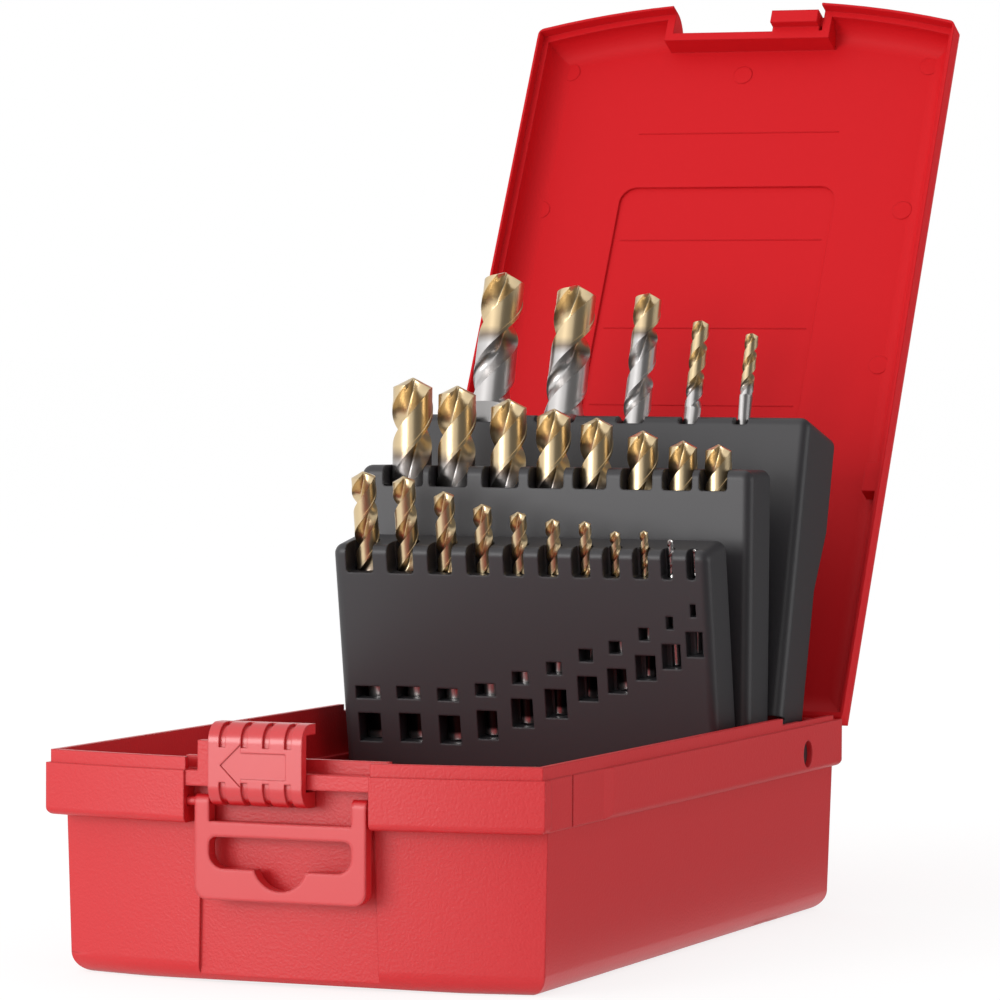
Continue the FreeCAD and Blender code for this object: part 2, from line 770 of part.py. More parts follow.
lid_notch_block = block(
    "lid_notch_block", ("-lid_notch_half_width - notch_cheek", "lid_notch_half_width + notch_cheek"),
    (mirrored(lid_front + " + front_bow"), mirrored(lid_notch_back + " - wall")),
    (lid_bottom + " + lid_lip_height", lid_bottom + " + lid_height"))
lid_notch_fill = common("lid_notch_fill", [lid_outer, lid_notch_block])
lid_notch = block(
    "lid_notch", ("-lid_notch_half_width", "lid_notch_half_width"),
    (mirrored("latch_front + overrun"), mirrored(lid_notch_back)),
    (lid_bottom + " - overrun", lid_bottom + " + lid_height + overrun"))
# The keeper stands clear of the tray's rim, which passes behind it when the case is shut
keeper_plate = block(
    "keeper_plate", ("keeper_left", "keeper_left + keeper_width"),
    (mirrored(lid_notch_back + " + keeper_depth"), mirrored(notch_back + " - rim_set_back / 2 + keeper_gap")),
    ("keeper_bottom", "keeper_top"))
keeper_root = block(
    "keeper_root", ("keeper_left", "keeper_left + keeper_width"),
    (mirrored(lid_notch_back + " + keeper_depth"), mirrored(lid_notch_back + " - wall / 2")),
    (lid_bottom + " + lid_lip_height", "keeper_top"))
panel_inner = "(lid_panel_half_width - lid_panel_corner)"
lid_panel = prism(
    "lid_panel", "XY_Plane",
    [[
        (mirrored(panel_inner), mirrored("lid_panel_front")),
        (panel_inner, mirrored("lid_panel_front"), "lid_panel_corner", 1),
        ("lid_panel_half_width", mirrored("lid_panel_front - lid_panel_corner")),
        ("lid_panel_half_width", "lid_panel_back - lid_panel_corner", "lid_panel_corner", 1),
        (panel_inner, "lid_panel_back"),
        (mirrored(panel_inner), "lid_panel_back", "lid_panel_corner", 1),
        ("-lid_panel_half_width", "lid_panel_back - lid_panel_corner"),
        ("-lid_panel_half_width", mirrored("lid_panel_front - lid_panel_corner"), "lid_panel_corner", 1),
    ]],
    lid_bottom + " + lid_height - wall - overrun", "lid_panel_depth + overrun")
lid_lugs = both_sides(
    lambda name, across: block(
        name, across, ("lid_lug_place - lid_lug_length / 2", "lid_lug_place + lid_lug_length / 2"),
        (lid_bottom + " + lid_lip_height", lid_bottom + " + lid_lip_height + lid_lug_height")),
    "lid_lug", "case_width / 2 - wall - lid_lug_width", "case_width / 2 - wall / 2")
hinge_bevel = prism(
    "hinge_bevel", "YZ_Plane",
    [[
        ("case_depth / 2 + overrun", lid_bottom + " - overrun"),
        ("case_depth / 2 + overrun", lid_bottom + " + lid_hinge_bevel + overrun"),
        ("case_depth / 2 - lid_hinge_bevel - overrun", lid_bottom + " - overrun"),
    ]],
    "-case_width / 2 - overrun", "case_width + 2 * overrun")

lid_hollow = without("lid_hollow", lid_outer, [lid_inside, lid_rebate])
lid_filled = joined("lid_filled", [lid_hollow, lid_notch_fill] + lid_lugs)
lid_cut = without("lid_cut", lid_filled, [lid_notch, lid_panel, hinge_bevel] + knuckle_gaps_in_lid)
lid_fitted = joined("lid_fitted", [lid_cut, keeper_plate, keeper_root] + lid_knuckles)
lid = without("lid", lid_fitted, lid_pin_holes)
nodes.append(finished(
    lid, "lid_shell",
    "placement(vector(0; 0; 0); rotation(vector(1; 0; 0); -lid_open); vector(0; hinge_back; collar_top))"))

for side, middle in (("left", "-hinge_place"), ("right", "hinge_place")):
    hinge_pin = hinge_rods("hinge_pin_" + side, "pin_radius", middle, "-hinge_half_length", "hinge_half_length")
    nodes.append(finished(hinge_pin, "hinge_pin_" + side))

# Sliding latch: a plate with a lip above and a hooked lip below, which wraps the rail

latch_face = "(latch_front - latch_plate)"
latch_body = prism(
    "latch_body", "YZ_Plane",
    [[
        (mirrored("latch_front"), "latch_bottom + latch_corner"),
        (mirrored("latch_front"), "latch_top - latch_corner", "latch_corner", -1),
        (mirrored("latch_front - latch_corner"), "latch_top"),
        (mirrored("latch_back"), "latch_top"),
        (mirrored("latch_back"), "latch_top - latch_top_lip"),
        (mirrored(latch_face), "latch_top - latch_top_lip"),
        (mirrored(latch_face), "latch_bottom + latch_bottom_lip"),
        (mirrored("latch_back + hook_thickness"), "latch_bottom + latch_bottom_lip"),
        (mirrored("latch_back + hook_thickness"), "hook_top"),
        (mirrored("latch_back"), "hook_top"),
        (mirrored("latch_back"), "latch_bottom"),
        (mirrored("latch_front - latch_corner"), "latch_bottom", "latch_corner", -1),
    ]],
    "latch_middle - latch_half_width", "2 * latch_half_width")
grips = []
for index in range(int(number("grip_count"))):
    start = "latch_middle + (%d - (grip_count - 1) / 2) * grip_pitch - grip_width / 2" % index
    for end, edge, inward, turn in (("top", "latch_top", "-", -1), ("bottom", "latch_bottom", "+", 1)):
        beyond = "%s %s (-overrun)" % (edge, inward)
        sunk = "%s %s grip_depth" % (edge, inward)
        centre = "%s %s latch_corner" % (edge, inward)
        far = "%s %s grip_reach" % (centre, inward)
        bend = "latch_corner - grip_depth"
        grips.append(prism(
            "grip_%s_%d" % (end, index + 1), "YZ_Plane",
            [[
                (mirrored("latch_front + overrun"), far),
                (mirrored("latch_front - grip_depth"), far),
                (mirrored("latch_front - grip_depth"), centre, bend, turn),
                (mirrored("latch_front - latch_corner"), sunk),
                (mirrored("latch_front - latch_corner - grip_reach"), sunk),
                (mirrored("latch_front - latch_corner - grip_reach"), beyond),
                (mirrored("latch_front + overrun"), beyond),
            ]],
            start, "grip_width"))
arrow_back = "latch_middle - arrow_shoulder"
arrow_right = "latch_middle + arrow_end"
arrow = prism(
    "arrow", "XZ_Plane",
    [[
        ("latch_middle - arrow_tip", "arrow_height"),
        (arrow_back, "arrow_height - arrow_half_height"),
        (arrow_back, "arrow_height - arrow_shaft_half_height"),
        (arrow_right, "arrow_height - arrow_shaft_half_height"),
        (arrow_right, "arrow_height + arrow_shaft_half_height"),
        (arrow_back, "arrow_height + arrow_shaft_half_height"),
        (arrow_back, "arrow_height + arrow_half_height"),
    ]],
    "latch_front - arrow_depth", "arrow_depth + overrun")
latch = without("latch", latch_body, grips + [arrow])
nodes.append(finished(latch, "latch_slider"))

# Hanging tab: a plate on two arms, with a finger slot and a round for a hook

tab_inner = "(tab_half_width - tab_arm)"
tab_top = "(tab_pivot_height + tab_thickness / 2)"
hang_radius = "(tab_hang_half_width^2 + tab_hang_depth^2) / (2 * tab_hang_depth)"
tab_plate = prism(
    "tab_plate", "XZ_Plane",
    [
        [
            ("-tab_half_width", tab_top),
            ("-tab_half_width", "tab_bottom + tab_corner", "tab_corner", 1),
            ("-tab_half_width + tab_corner", "tab_bottom"),
            ("tab_half_width - tab_corner", "tab_bottom", "tab_corner", 1),
            ("tab_half_width", "tab_bottom + tab_corner"),
            ("tab_half_width", tab_top),
            (tab_inner, tab_top),
            (tab_inner, "tab_bar_top"),
            (mirrored(tab_inner), "tab_bar_top"),
            (mirrored(tab_inner), tab_top),
        ],
        [
            (mirrored(tab_inner) + " + tab_slot_corner", "tab_slot_top"),
            (tab_inner + " - tab_slot_corner", "tab_slot_top", "tab_slot_corner", -1),
            (tab_inner, "tab_slot_top - tab_slot_corner"),
            (tab_inner, "tab_slot_bottom + tab_slot_low_corner", "tab_slot_low_corner", -1),
            (tab_inner + " - tab_slot_low_corner", "tab_slot_bottom"),
            ("tab_hang_half_width", "tab_slot_bottom", hang_radius, -1),
            ("-tab_hang_half_width", "tab_slot_bottom"),
            (mirrored(tab_inner) + " + tab_slot_low_corner", "tab_slot_bottom", "tab_slot_low_corner", -1),
            (mirrored(tab_inner), "tab_slot_bottom + tab_slot_low_corner"),
            (mirrored(tab_inner), "tab_slot_top - tab_slot_corner", "tab_slot_corner", -1),
        ],
    ],
    "tab_front - tab_thickness", "tab_thickness")
tab_knuckles = both_sides(
    lambda name, across: rod(
        name, "tab_thickness / 2", across, mirrored("tab_front - tab_thickness / 2"), "tab_pivot_height"),
    "tab_knuckle", "tab_half_width - tab_arm", "tab_half_width")
tab_squares = both_sides(
    lambda name, across: block(
        name, across, (mirrored("tab_front + overrun"), mirrored("tab_front - tab_thickness - overrun")),
        ("tab_pivot_height", "tab_pivot_height + tab_thickness")),
    "tab_square", "tab_half_width - tab_arm - overrun", "tab_half_width + overrun")
tab_pins = tab_rods(
    "tab_pin", "tab_pin_radius", "tab_half_width - tab_arm / 2", "tab_half_width - tab_arm / 2", "tab_pin_length")
tab_trimmed = without("tab_trimmed", tab_plate, tab_squares)
tab = joined("tab", [tab_trimmed] + tab_knuckles + tab_pins)
nodes.append(finished(tab, "hanger_tab"))

# Holders: upright blocks with a pocket for each drill, on two ears that pivot in the tray


def pocket_middle(holder, mark):
    """How far behind the holder's middle a drill's pocket has its middle."""
    return "(%s_wall + drill_clearance + drill_%s_size / 2 - %s_half_thickness)" % (holder, mark, holder)


def rounded_top(half, foot, top):
    """A block's front view, with the two upper corners rounded."""
    return [
        (mirrored(half), foot),
        (half, foot),
        (half, top + " - holder_corner", "holder_corner", 1),
        (half + " - holder_corner", top),
        (mirrored(half) + " + holder_corner", top, "holder_corner", 1),
        (mirrored(half), top + " - holder_corner"),
    ]


def make_holder(holder, drills):
    half = holder + "_half_width"
    deep = holder + "_half_thickness"
    top = holder + "_top"
    foot = holder + "_foot"
    body = prism(
        holder + "_body", "XZ_Plane", [rounded_top(half, foot, top)], mirrored(deep), "2 * " + deep)
    front_face = mirrored(deep)

    def on_front(edge):
        box = edge.BoundBox
        flat = box.YLength < number("overrun") / 100
        in_front = abs(box.YMin - number(front_face)) < number("overrun") / 100
        low = box.ZMax < number(foot) + number("overrun") / 100
        return flat and in_front and not low

    round_edges(body, "holder_edge", on_front)
    shell = [body]
    if holder == "back":
        shell.append(prism(
            "back_head", "XZ_Plane", [rounded_top(half, top + " - head_height", top)],
            mirrored(deep + " + head_depth"), "head_depth + overrun"))
        shell.append(prism(
            "back_head_slope", "YZ_Plane",
            [[
                (deep + " - overrun", top + " - head_height - head_slope"),
                (deep, top + " - head_height - head_slope"),
                (deep + " + head_depth", top + " - head_height"),
                (deep + " - overrun", top + " - head_height"),
            ]],
            mirrored(half), "2 * " + half))

    cutters = []
    for mark, size, place, floor, length, flute in drills:
        across = "drill_%s_place" % mark
        radius = "(drill_%s_size / 2 + drill_clearance)" % mark
        middle = pocket_middle(holder, mark)
        bottom = "drill_%s_floor" % mark
        slot = "slot_%s_width / 2" % mark if holder == "front" else radius + " + slot_clearance"
        cutters.append(rod("pocket_" + mark, radius, across, middle, (bottom, top + " + overrun")))
        left = across + " - " + slot
        right = across + " + " + slot
        sill = holder + "_slot_floor"
        cutters.append(prism(
            "slot_" + mark, "XZ_Plane",
            [[
                (left, top + " + overrun"),
                (left, sill + " + slot_corner", "slot_corner", 1),
                (left + " + slot_corner", sill),
                (right + " - slot_corner", sill, "slot_corner", 1),
                (right, sill + " + slot_corner"),
                (right, top + " + overrun"),
            ]],
            mirrored(middle), "%s + %s + overrun" % (middle, deep)))
    if holder == "front":
        for mark, slot, upper, lower, height in FRONT_WINDOWS:
            across = "drill_%s_place" % mark
            bottom = "drill_%s_floor" % mark
            tall = "lower_%s_height" % mark
            gap = "%s + %s + window_pitch" % (bottom, tall)
            for name, width, low, high in (
                    ("lower", "lower_%s_width" % mark, bottom, bottom + " + " + tall),
                    ("upper", "upper_%s_width" % mark, gap, gap + " + upper_window_height")):
                cutters.append(block(
                    "%s_window_%s" % (name, mark), ("%s - %s / 2" % (across, width), "%s + %s / 2" % (across, width)),
                    (mirrored(deep) + " - overrun", pocket_middle(holder, mark)), (low, high)))
    whole = joined(holder + "_whole", shell) if len(shell) > 1 else body
    cut = without(holder + "_cut", whole, cutters)

    trunnion = "collar_pivot_radius" if holder == "back" else "pivot_radius"
    reach = "case_width / 2 - collar_pivot_recess" if holder == "back" else half + " + ear_thickness"
    ears = both_sides(
        lambda name, across: block(
            name, across, ("-ear_radius", "ear_radius"), ("0", foot + " + overrun")),
        holder + "_ear", half + " - ear_thickness", half)
    ear_ends = both_sides(
        lambda name, across: rod(name, "ear_radius", across, "0", "0"),
        holder + "_ear_end", half + " - ear_thickness", half)
    trunnions = both_sides(
        lambda name, across: rod(name, trunnion, across, "0", "0"),
        holder + "_trunnion", half + " - ear_thickness / 2", reach)
    lugs = both_sides(
        lambda name, across: block(
            name, across, (deep + " - overrun", deep + " + holder_lug_height"),
            ("holder_lug_place", "holder_lug_place + holder_lug_length")),
        holder + "_lug", half + " - 2 * holder_lug_width", half + " - holder_lug_width")
    made = joined(holder + "_fitted", [cut] + ears + ear_ends + trunnions + lugs)
    return finished(made, holder + "_holder", holder_placement(holder))


def holder_placement(holder):
    """Where a holder stands: on its pivot, tilted about it."""
    return ("placement(vector(0; {0}_pivot_back; {0}_pivot_height); "
            "rotation(vector(1; 0; 0); {0}_tilt); vector(0; 0; 0))").format(holder)


for holder, drills in HOLDERS:
    nodes.append(make_holder(holder, drills))

# Drills: a plain shank, two helical flutes and a ground point


def make_drill(holder, mark):
    """A right-hand twist drill standing on its pocket's floor."""
    radius = number("drill_%s_size / 2" % mark)
    length = number("drill_%s_length - seat_clearance" % mark)
    point = radius / math.tan(math.radians(number("point_angle") / 2))
    fluted = number("drill_%s_flute" % mark)
    pitch = 2 * math.pi * radius / math.tan(math.radians(number("helix_angle")))
    land_angle = math.radians(number("land_angle"))
    land_share = number("land_share")
    section = ((-land_angle, land_share), (0, land_share), (land_angle, land_share),
               (math.pi / 2, number("web_share")))
    start = length - point - fluted
    steps = int(number("flute_steps"))
    turn = math.radians(number("drill_turn"))

    def ring(rise):
        spin = 2 * math.pi * (rise - fluted) / pitch + turn
        corners = []
        for half_turn in (0, math.pi):
            for angle, share in section:
                around = angle + half_turn + spin
                corners.append(FreeCAD.Vector(
                    share * radius * math.cos(around), share * radius * math.sin(around), start + rise))
        return corners

    rings = [ring(fluted * step / steps) for step in range(steps + 1)]
    faces = []

    def triangle(one, two, three):
        faces.append(Part.Face(Part.makePolygon([one, two, three, one])))

    count = 2 * len(section)
    for lower, upper in zip(rings, rings[1:]):
        for index in range(count):
            following = (index + 1) % count
            triangle(lower[index], lower[following], upper[following])
            triangle(lower[index], upper[following], upper[index])
    tip = FreeCAD.Vector(0, 0, length)
    for index in range(count):
        triangle(rings[-1][index], rings[-1][(index + 1) % count], tip)
    faces.append(Part.Face(Part.makePolygon(rings[0] + [rings[0][0]])))
    fluted_part = Part.Solid(Part.Shell(faces))
    if fluted_part.Volume < 0:
        fluted_part.reverse()
    shank = Part.makeCylinder(radius, start)
    drill = doc.addObject("Part::Feature", "drill_" + mark)
    drill.Shape = shank.fuse(fluted_part)
    drill.Label = "drill_" + mark
    holder_place = FreeCAD.Placement(
        FreeCAD.Vector(0, number(holder + "_pivot_back"), number(holder + "_pivot_height")),
        FreeCAD.Rotation(FreeCAD.Vector(1, 0, 0), number(holder + "_tilt")))
    stand = FreeCAD.Placement(
        FreeCAD.Vector(
            number("drill_%s_place" % mark), number(pocket_middle(holder, mark)),
            number("drill_%s_floor + seat_clearance" % mark)),
        FreeCAD.Rotation())
    drill.Placement = holder_place.multiply(stand)
    return drill


for holder, drills in HOLDERS:
    for row in drills:
        nodes.append(make_drill(holder, row[0]))

doc.recompute()

for node in nodes:
    wrong = [state for state in node.State if state in ("Invalid", "Error")]
    if wrong or node.Shape.isNull() or not node.Shape.isValid():
        raise RuntimeError("%s did not build: %s" % (node.Label, node.State))
for made in doc.Objects:
    if "Invalid" in made.State or "Error" in made.State:
        raise RuntimeError("%s did not build: %s" % (made.Label, made.State))
for node in nodes:
    node.Shape.exportStep("parts/%s.step" % node.Label)
    print(node.Label, len(node.Shape.Solids), round(node.Shape.Volume, 1))
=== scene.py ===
import json
import math

import bmesh
import bpy
from mathutils import Matrix, Vector


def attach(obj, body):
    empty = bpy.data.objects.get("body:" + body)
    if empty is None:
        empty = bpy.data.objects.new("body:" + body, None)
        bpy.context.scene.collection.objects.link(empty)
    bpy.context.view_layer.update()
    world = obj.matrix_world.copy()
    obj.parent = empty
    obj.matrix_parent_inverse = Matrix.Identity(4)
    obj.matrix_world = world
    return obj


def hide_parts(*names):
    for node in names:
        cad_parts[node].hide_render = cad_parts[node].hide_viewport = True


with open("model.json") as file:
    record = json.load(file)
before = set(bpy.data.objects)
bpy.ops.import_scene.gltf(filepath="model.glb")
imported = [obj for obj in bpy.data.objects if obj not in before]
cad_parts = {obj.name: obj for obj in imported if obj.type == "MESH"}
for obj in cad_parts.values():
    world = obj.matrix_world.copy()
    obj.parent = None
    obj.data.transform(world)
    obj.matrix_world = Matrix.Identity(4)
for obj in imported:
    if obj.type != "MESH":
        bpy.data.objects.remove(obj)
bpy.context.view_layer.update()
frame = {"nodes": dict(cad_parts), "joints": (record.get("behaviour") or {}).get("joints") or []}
nodes = frame["nodes"]
joints = {joint["name"]: joint for joint in frame["joints"]}
scene = bpy.context.scene

MM = 0.001

# Camera: found by fitting the case's edges in the photograph

LENS_PX = 5078.64
IMAGE_PX = 1000
SENSOR_MM = 36.0
CAMERA_AZIMUTH = math.radians(21.967)
CAMERA_ELEVATION = math.radians(1.705)
CAMERA_ROLL = math.radians(0.283)
CAMERA_PLACE = Vector((446.39, -1087.48, 137.0)) * MM
CLIP_NEAR = 0.05
CLIP_FAR = 50


def photo_camera():
    """The camera at the photograph's place, turned as the photograph is."""
    ahead = Vector((
        -math.sin(CAMERA_AZIMUTH) * math.cos(CAMERA_ELEVATION),
        math.cos(CAMERA_AZIMUTH) * math.cos(CAMERA_ELEVATION),
        -math.sin(CAMERA_ELEVATION)))
    level = Vector((math.cos(CAMERA_AZIMUTH), math.sin(CAMERA_AZIMUTH), 0))
    upward = level.cross(ahead)
    right = level * math.cos(CAMERA_ROLL) + upward * math.sin(CAMERA_ROLL)
    up = upward * math.cos(CAMERA_ROLL) - level * math.sin(CAMERA_ROLL)
    data = bpy.data.cameras.new("camera")
    data.sensor_width = SENSOR_MM
    data.lens = LENS_PX * SENSOR_MM / IMAGE_PX
    data.clip_start = CLIP_NEAR
    data.clip_end = CLIP_FAR
    camera = bpy.data.objects.new("camera", data)
    scene.collection.objects.link(camera)
    camera.matrix_world = Matrix((
        (right.x, up.x, -ahead.x, CAMERA_PLACE.x),
        (right.y, up.y, -ahead.y, CAMERA_PLACE.y),
        (right.z, up.z, -ahead.z, CAMERA_PLACE.z),
        (0, 0, 0, 1)))
    return camera


scene.camera = photo_camera()
scene.view_settings.view_transform = "Standard"
scene.view_settings.look = "None"

# Materials

RED = (0.60, 0.012, 0.017)
LID_RED = (0.62, 0.011, 0.016)
BLACK = (0.024, 0.022, 0.025)
STEEL = (0.58, 0.56, 0.55)
# Bronze where the coat fades, darkened further as a painted reflection of dark surroundings
BRONZE_AND_PAINTED_REFLECTION = (0.25, 0.20, 0.16)
GOLD = (0.68, 0.53, 0.32)
# Painted shade: the dark colour of a shank deep in its pocket, where no light reaches
SHADED_STEEL = (0.02, 0.018, 0.018)
STEEL_ROUGHNESS = 0.25
COAT_ROUGHNESS = 0.30
GRAIN_DETAIL = 2
BEVEL_SAMPLES = 4
# A drill's colours run along a ramp of this length, and change sharply over this share of it
RAMP_MM = 90.0
RAMP_STEP = 0.008
# Length of shank at the bottom of a pocket that is painted dark as shade, since no light comes there, and of
# the bright end below it, which keeps the plain steel colour
POCKET_SHADE = 9.0
BRIGHT_END = 2.0


def new_material(name, colour, roughness, metallic=0.0, specular=0.5):
    """A material with a plain colour. Returns it with its shader and its node tree."""
    material = bpy.data.materials.new(name)
    material.use_nodes = True
    tree = material.node_tree
    shader = tree.nodes["Principled BSDF"]
    shader.inputs["Base Color"].default_value = (*colour, 1)
    shader.inputs["Roughness"].default_value = roughness
    shader.inputs["Metallic"].default_value = metallic
    shader.inputs["Specular IOR Level"].default_value = specular
    return material, shader, tree


def moulded_plastic(name, colour, roughness, specular, grain, strength, height, edge):
    """Plastic with a fine moulded grain over slightly rounded edges. Its lengths are in millimetres."""
    material, shader, tree = new_material(name, colour, roughness, specular=specular)
    place = tree.nodes.new("ShaderNodeTexCoord")
    noise = tree.nodes.new("ShaderNodeTexNoise")
    noise.inputs["Scale"].default_value = 1 / (grain * MM)
    noise.inputs["Detail"].default_value = GRAIN_DETAIL
    rounded = tree.nodes.new("ShaderNodeBevel")
    rounded.samples = BEVEL_SAMPLES
    rounded.inputs["Radius"].default_value = edge * MM
    bump = tree.nodes.new("ShaderNodeBump")
    bump.inputs["Strength"].default_value = strength
    bump.inputs["Distance"].default_value = height * MM
    tree.links.new(rounded.outputs["Normal"], bump.inputs["Normal"])
    tree.links.new(place.outputs["Object"], noise.inputs["Vector"])
    tree.links.new(noise.outputs["Fac"], bump.inputs["Height"])
    tree.links.new(bump.outputs["Normal"], shader.inputs["Normal"])
    return material


def coated_steel(name, coat_fades, shade_from):
    """Ground steel with a gold coat that fades. Z is 0 at the drill's tip and falls towards its shank.

    The coat fades out between the two places in coat_fades, and shade painted into the colour, standing for
    the pocket's dark, starts at shade_from.
    """
    material, shader, tree = new_material(name, GOLD, COAT_ROUGHNESS, metallic=1.0)
    place = tree.nodes.new("ShaderNodeTexCoord")
    split = tree.nodes.new("ShaderNodeSeparateXYZ")
    spread = tree.nodes.new("ShaderNodeMapRange")
    spread.inputs["From Min"].default_value = 0
    spread.inputs["From Max"].default_value = -RAMP_MM * MM
    ramp = tree.nodes.new("ShaderNodeValToRGB")
    fade_start, fade_end = coat_fades
    shade_end = shade_from + POCKET_SHADE - BRIGHT_END
    stops = (
        (fade_start / RAMP_MM, GOLD),
        # Middle of the fade: the coat's bronze edge, with a painted dark reflection in it
        ((fade_start + fade_end) / (2 * RAMP_MM), BRONZE_AND_PAINTED_REFLECTION),
        (fade_end / RAMP_MM, STEEL),
        # From here the shank is painted dark as shade in its pocket, and its last end is plain steel again
        (shade_from / RAMP_MM, STEEL),
        (shade_from / RAMP_MM + RAMP_STEP, SHADED_STEEL),
        (shade_end / RAMP_MM, SHADED_STEEL),
        (shade_end / RAMP_MM + RAMP_STEP, STEEL))
    elements = ramp.color_ramp.elements
    # A new ramp has two stops of its own
    for element, (share, colour) in zip(tuple(elements), stops):
        element.position = share
        element.color = (*colour, 1)
    for share, colour in stops[2:]:
        elements.new(share).color = (*colour, 1)
    tree.links.new(place.outputs["Object"], split.inputs["Vector"])
    tree.links.new(split.outputs["Z"], spread.inputs["Value"])
    tree.links.new(spread.outputs["Result"], ramp.inputs["Fac"])
    tree.links.new(ramp.outputs["Color"], shader.inputs["Base Color"])
    return material


red_plastic = moulded_plastic(
    "red_plastic", RED, roughness=0.42, specular=0.6, grain=0.6, strength=0.6, height=0.12, edge=0.6)
lid_plastic = moulded_plastic(
    "lid_plastic", LID_RED, roughness=0.5, specular=0.1, grain=0.6, strength=0.3, height=0.05, edge=0.5)
latch_plastic = moulded_plastic(
    "latch_plastic", RED, roughness=0.32, specular=1.0, grain=0.4, strength=0.2, height=0.03, edge=0.4)
tab_plastic = moulded_plastic(
    "tab_plastic", RED, roughness=0.38, specular=0.8, grain=0.4, strength=0.2, height=0.03, edge=1.0)
black_plastic = moulded_plastic(
    "black_plastic", BLACK, roughness=0.42, specular=0.6, grain=0.4, strength=0.25, height=0.03, edge=0.6)
steel = new_material("steel", STEEL, STEEL_ROUGHNESS, metallic=1.0)[0]

NODE_MATERIALS = {
    "base_tray": red_plastic,
    "lid_shell": lid_plastic,
    "latch_slider": latch_plastic,
    "hanger_tab": tab_plastic,
    "front_holder": black_plastic,
    "middle_holder": black_plastic,
    "back_holder": black_plastic,
    "hinge_pin_left": steel,
    "hinge_pin_right": steel,
}


def paint(name, material):
    """Gives a CAD node one material."""
    slots = nodes[name].data.materials
    if len(slots) == 0:
        slots.append(material)
    for index in range(len(slots)):
        slots[index] = material


for name, material in NODE_MATERIALS.items():
    paint(name, material)

# Drills

# How long each drill's flutes are, and where its coat starts and ends to fade, in millimetres from the tip.
# Eleven drills stand in the front holder, the next eight in the middle one and the last five in the back one.
FLUTES = {
    "6_0": (28, 21, 27), "5_5": (28, 21, 27), "5_0": (26, 20, 26), "4_5": (24, 20, 26),
    "4_0": (22, 20, 26), "3_5": (20, 20, 26), "3_0": (16, 20, 26), "2_5": (14, 20, 26),
    "2_0": (12, 20, 26), "1_5": (9, 20, 26), "1_0": (6, 20, 26),
    "10_0": (43, 17, 22), "9_5": (40, 16, 21), "9_0": (40, 15.5, 20.5), "8_5": (37, 15.5, 20),
    "8_0": (37, 14, 19), "7_5": (34, 15.5, 20), "7_0": (34, 14, 19), "6_5": (31, 17, 22),
    "10_5": (33, 15.5, 20), "10_2": (32.5, 15, 19.5), "6_8": (34, 9.5, 13), "4_2": (22, 16, 19),
    "3_3": (15.5, 12, 15),
}
UNCOATED = ("1_0", "1_5")
HELIX_ANGLE = math.radians(42)
POINT_HALF_ANGLE = math.radians(67.5)
DRILL_TURN = math.radians(-3)
SPLIT_ANGLE = math.radians(38)

# The section of a drill repeats every half turn, and places in it are shares of that half turn
LAND_SHARE = 0.52
MARGIN_SHARE = 0.13
MARGIN_START = LAND_SHARE * (1 - MARGIN_SHARE)
SHARP = 0.004
SHARP_PLACES = (MARGIN_START - SHARP, MARGIN_START + SHARP, LAND_SHARE, LAND_SHARE + SHARP, 1 - SHARP)
STEPS_AROUND = 56
SECTION = sorted(
    [half + share for half in (0.0, 1.0) for share in SHARP_PLACES]
    + [2 * step / STEPS_AROUND for step in range(STEPS_AROUND)])

# Shares of the drill's radius
LAND_RADIUS_SHARE = 0.965
WEB_SHARE = 0.26
# The flute's hollow is deepest a little past its middle, and has a round floor
HOLLOW_SHIFT = 0.85
HOLLOW_ROUNDNESS = 0.55

RELIEF_SHARE = 0.30
POINT_SCALES = (0.72, 0.45, 0.2)
FLUTE_RINGS = 64
# Shares of the drill's diameter: how gently the flutes run out, and how far below the point they start
RUN_OUT_SHARE = 1.6
FLUTE_START_SHARE = 0.05
END_CHAMFER = 0.3 * MM
# Corners this close to the shank's end belong to it
END_BAND = 0.1 * MM


def section_radius(place):
    """The share of the drill's radius at a place in the section, measured from the land's heel."""
    half_place = place % 1.0
    if half_place > LAND_SHARE:
        hollow = (half_place - LAND_SHARE) / (1 - LAND_SHARE)
        depth = math.sin(math.pi * hollow ** HOLLOW_SHIFT) ** HOLLOW_ROUNDNESS
        return 1 - (1 - WEB_SHARE) * depth
    if half_place > MARGIN_START:
        return 1.0
    return LAND_RADIUS_SHARE


def bridge(work, upper, lower):
    """Smooth faces between two rings of corners."""
    count = len(upper)
    for index in range(count):
        following = (index + 1) % count
        face = work.faces.new((upper[index], lower[index], lower[following], upper[following]))
        face.smooth = True


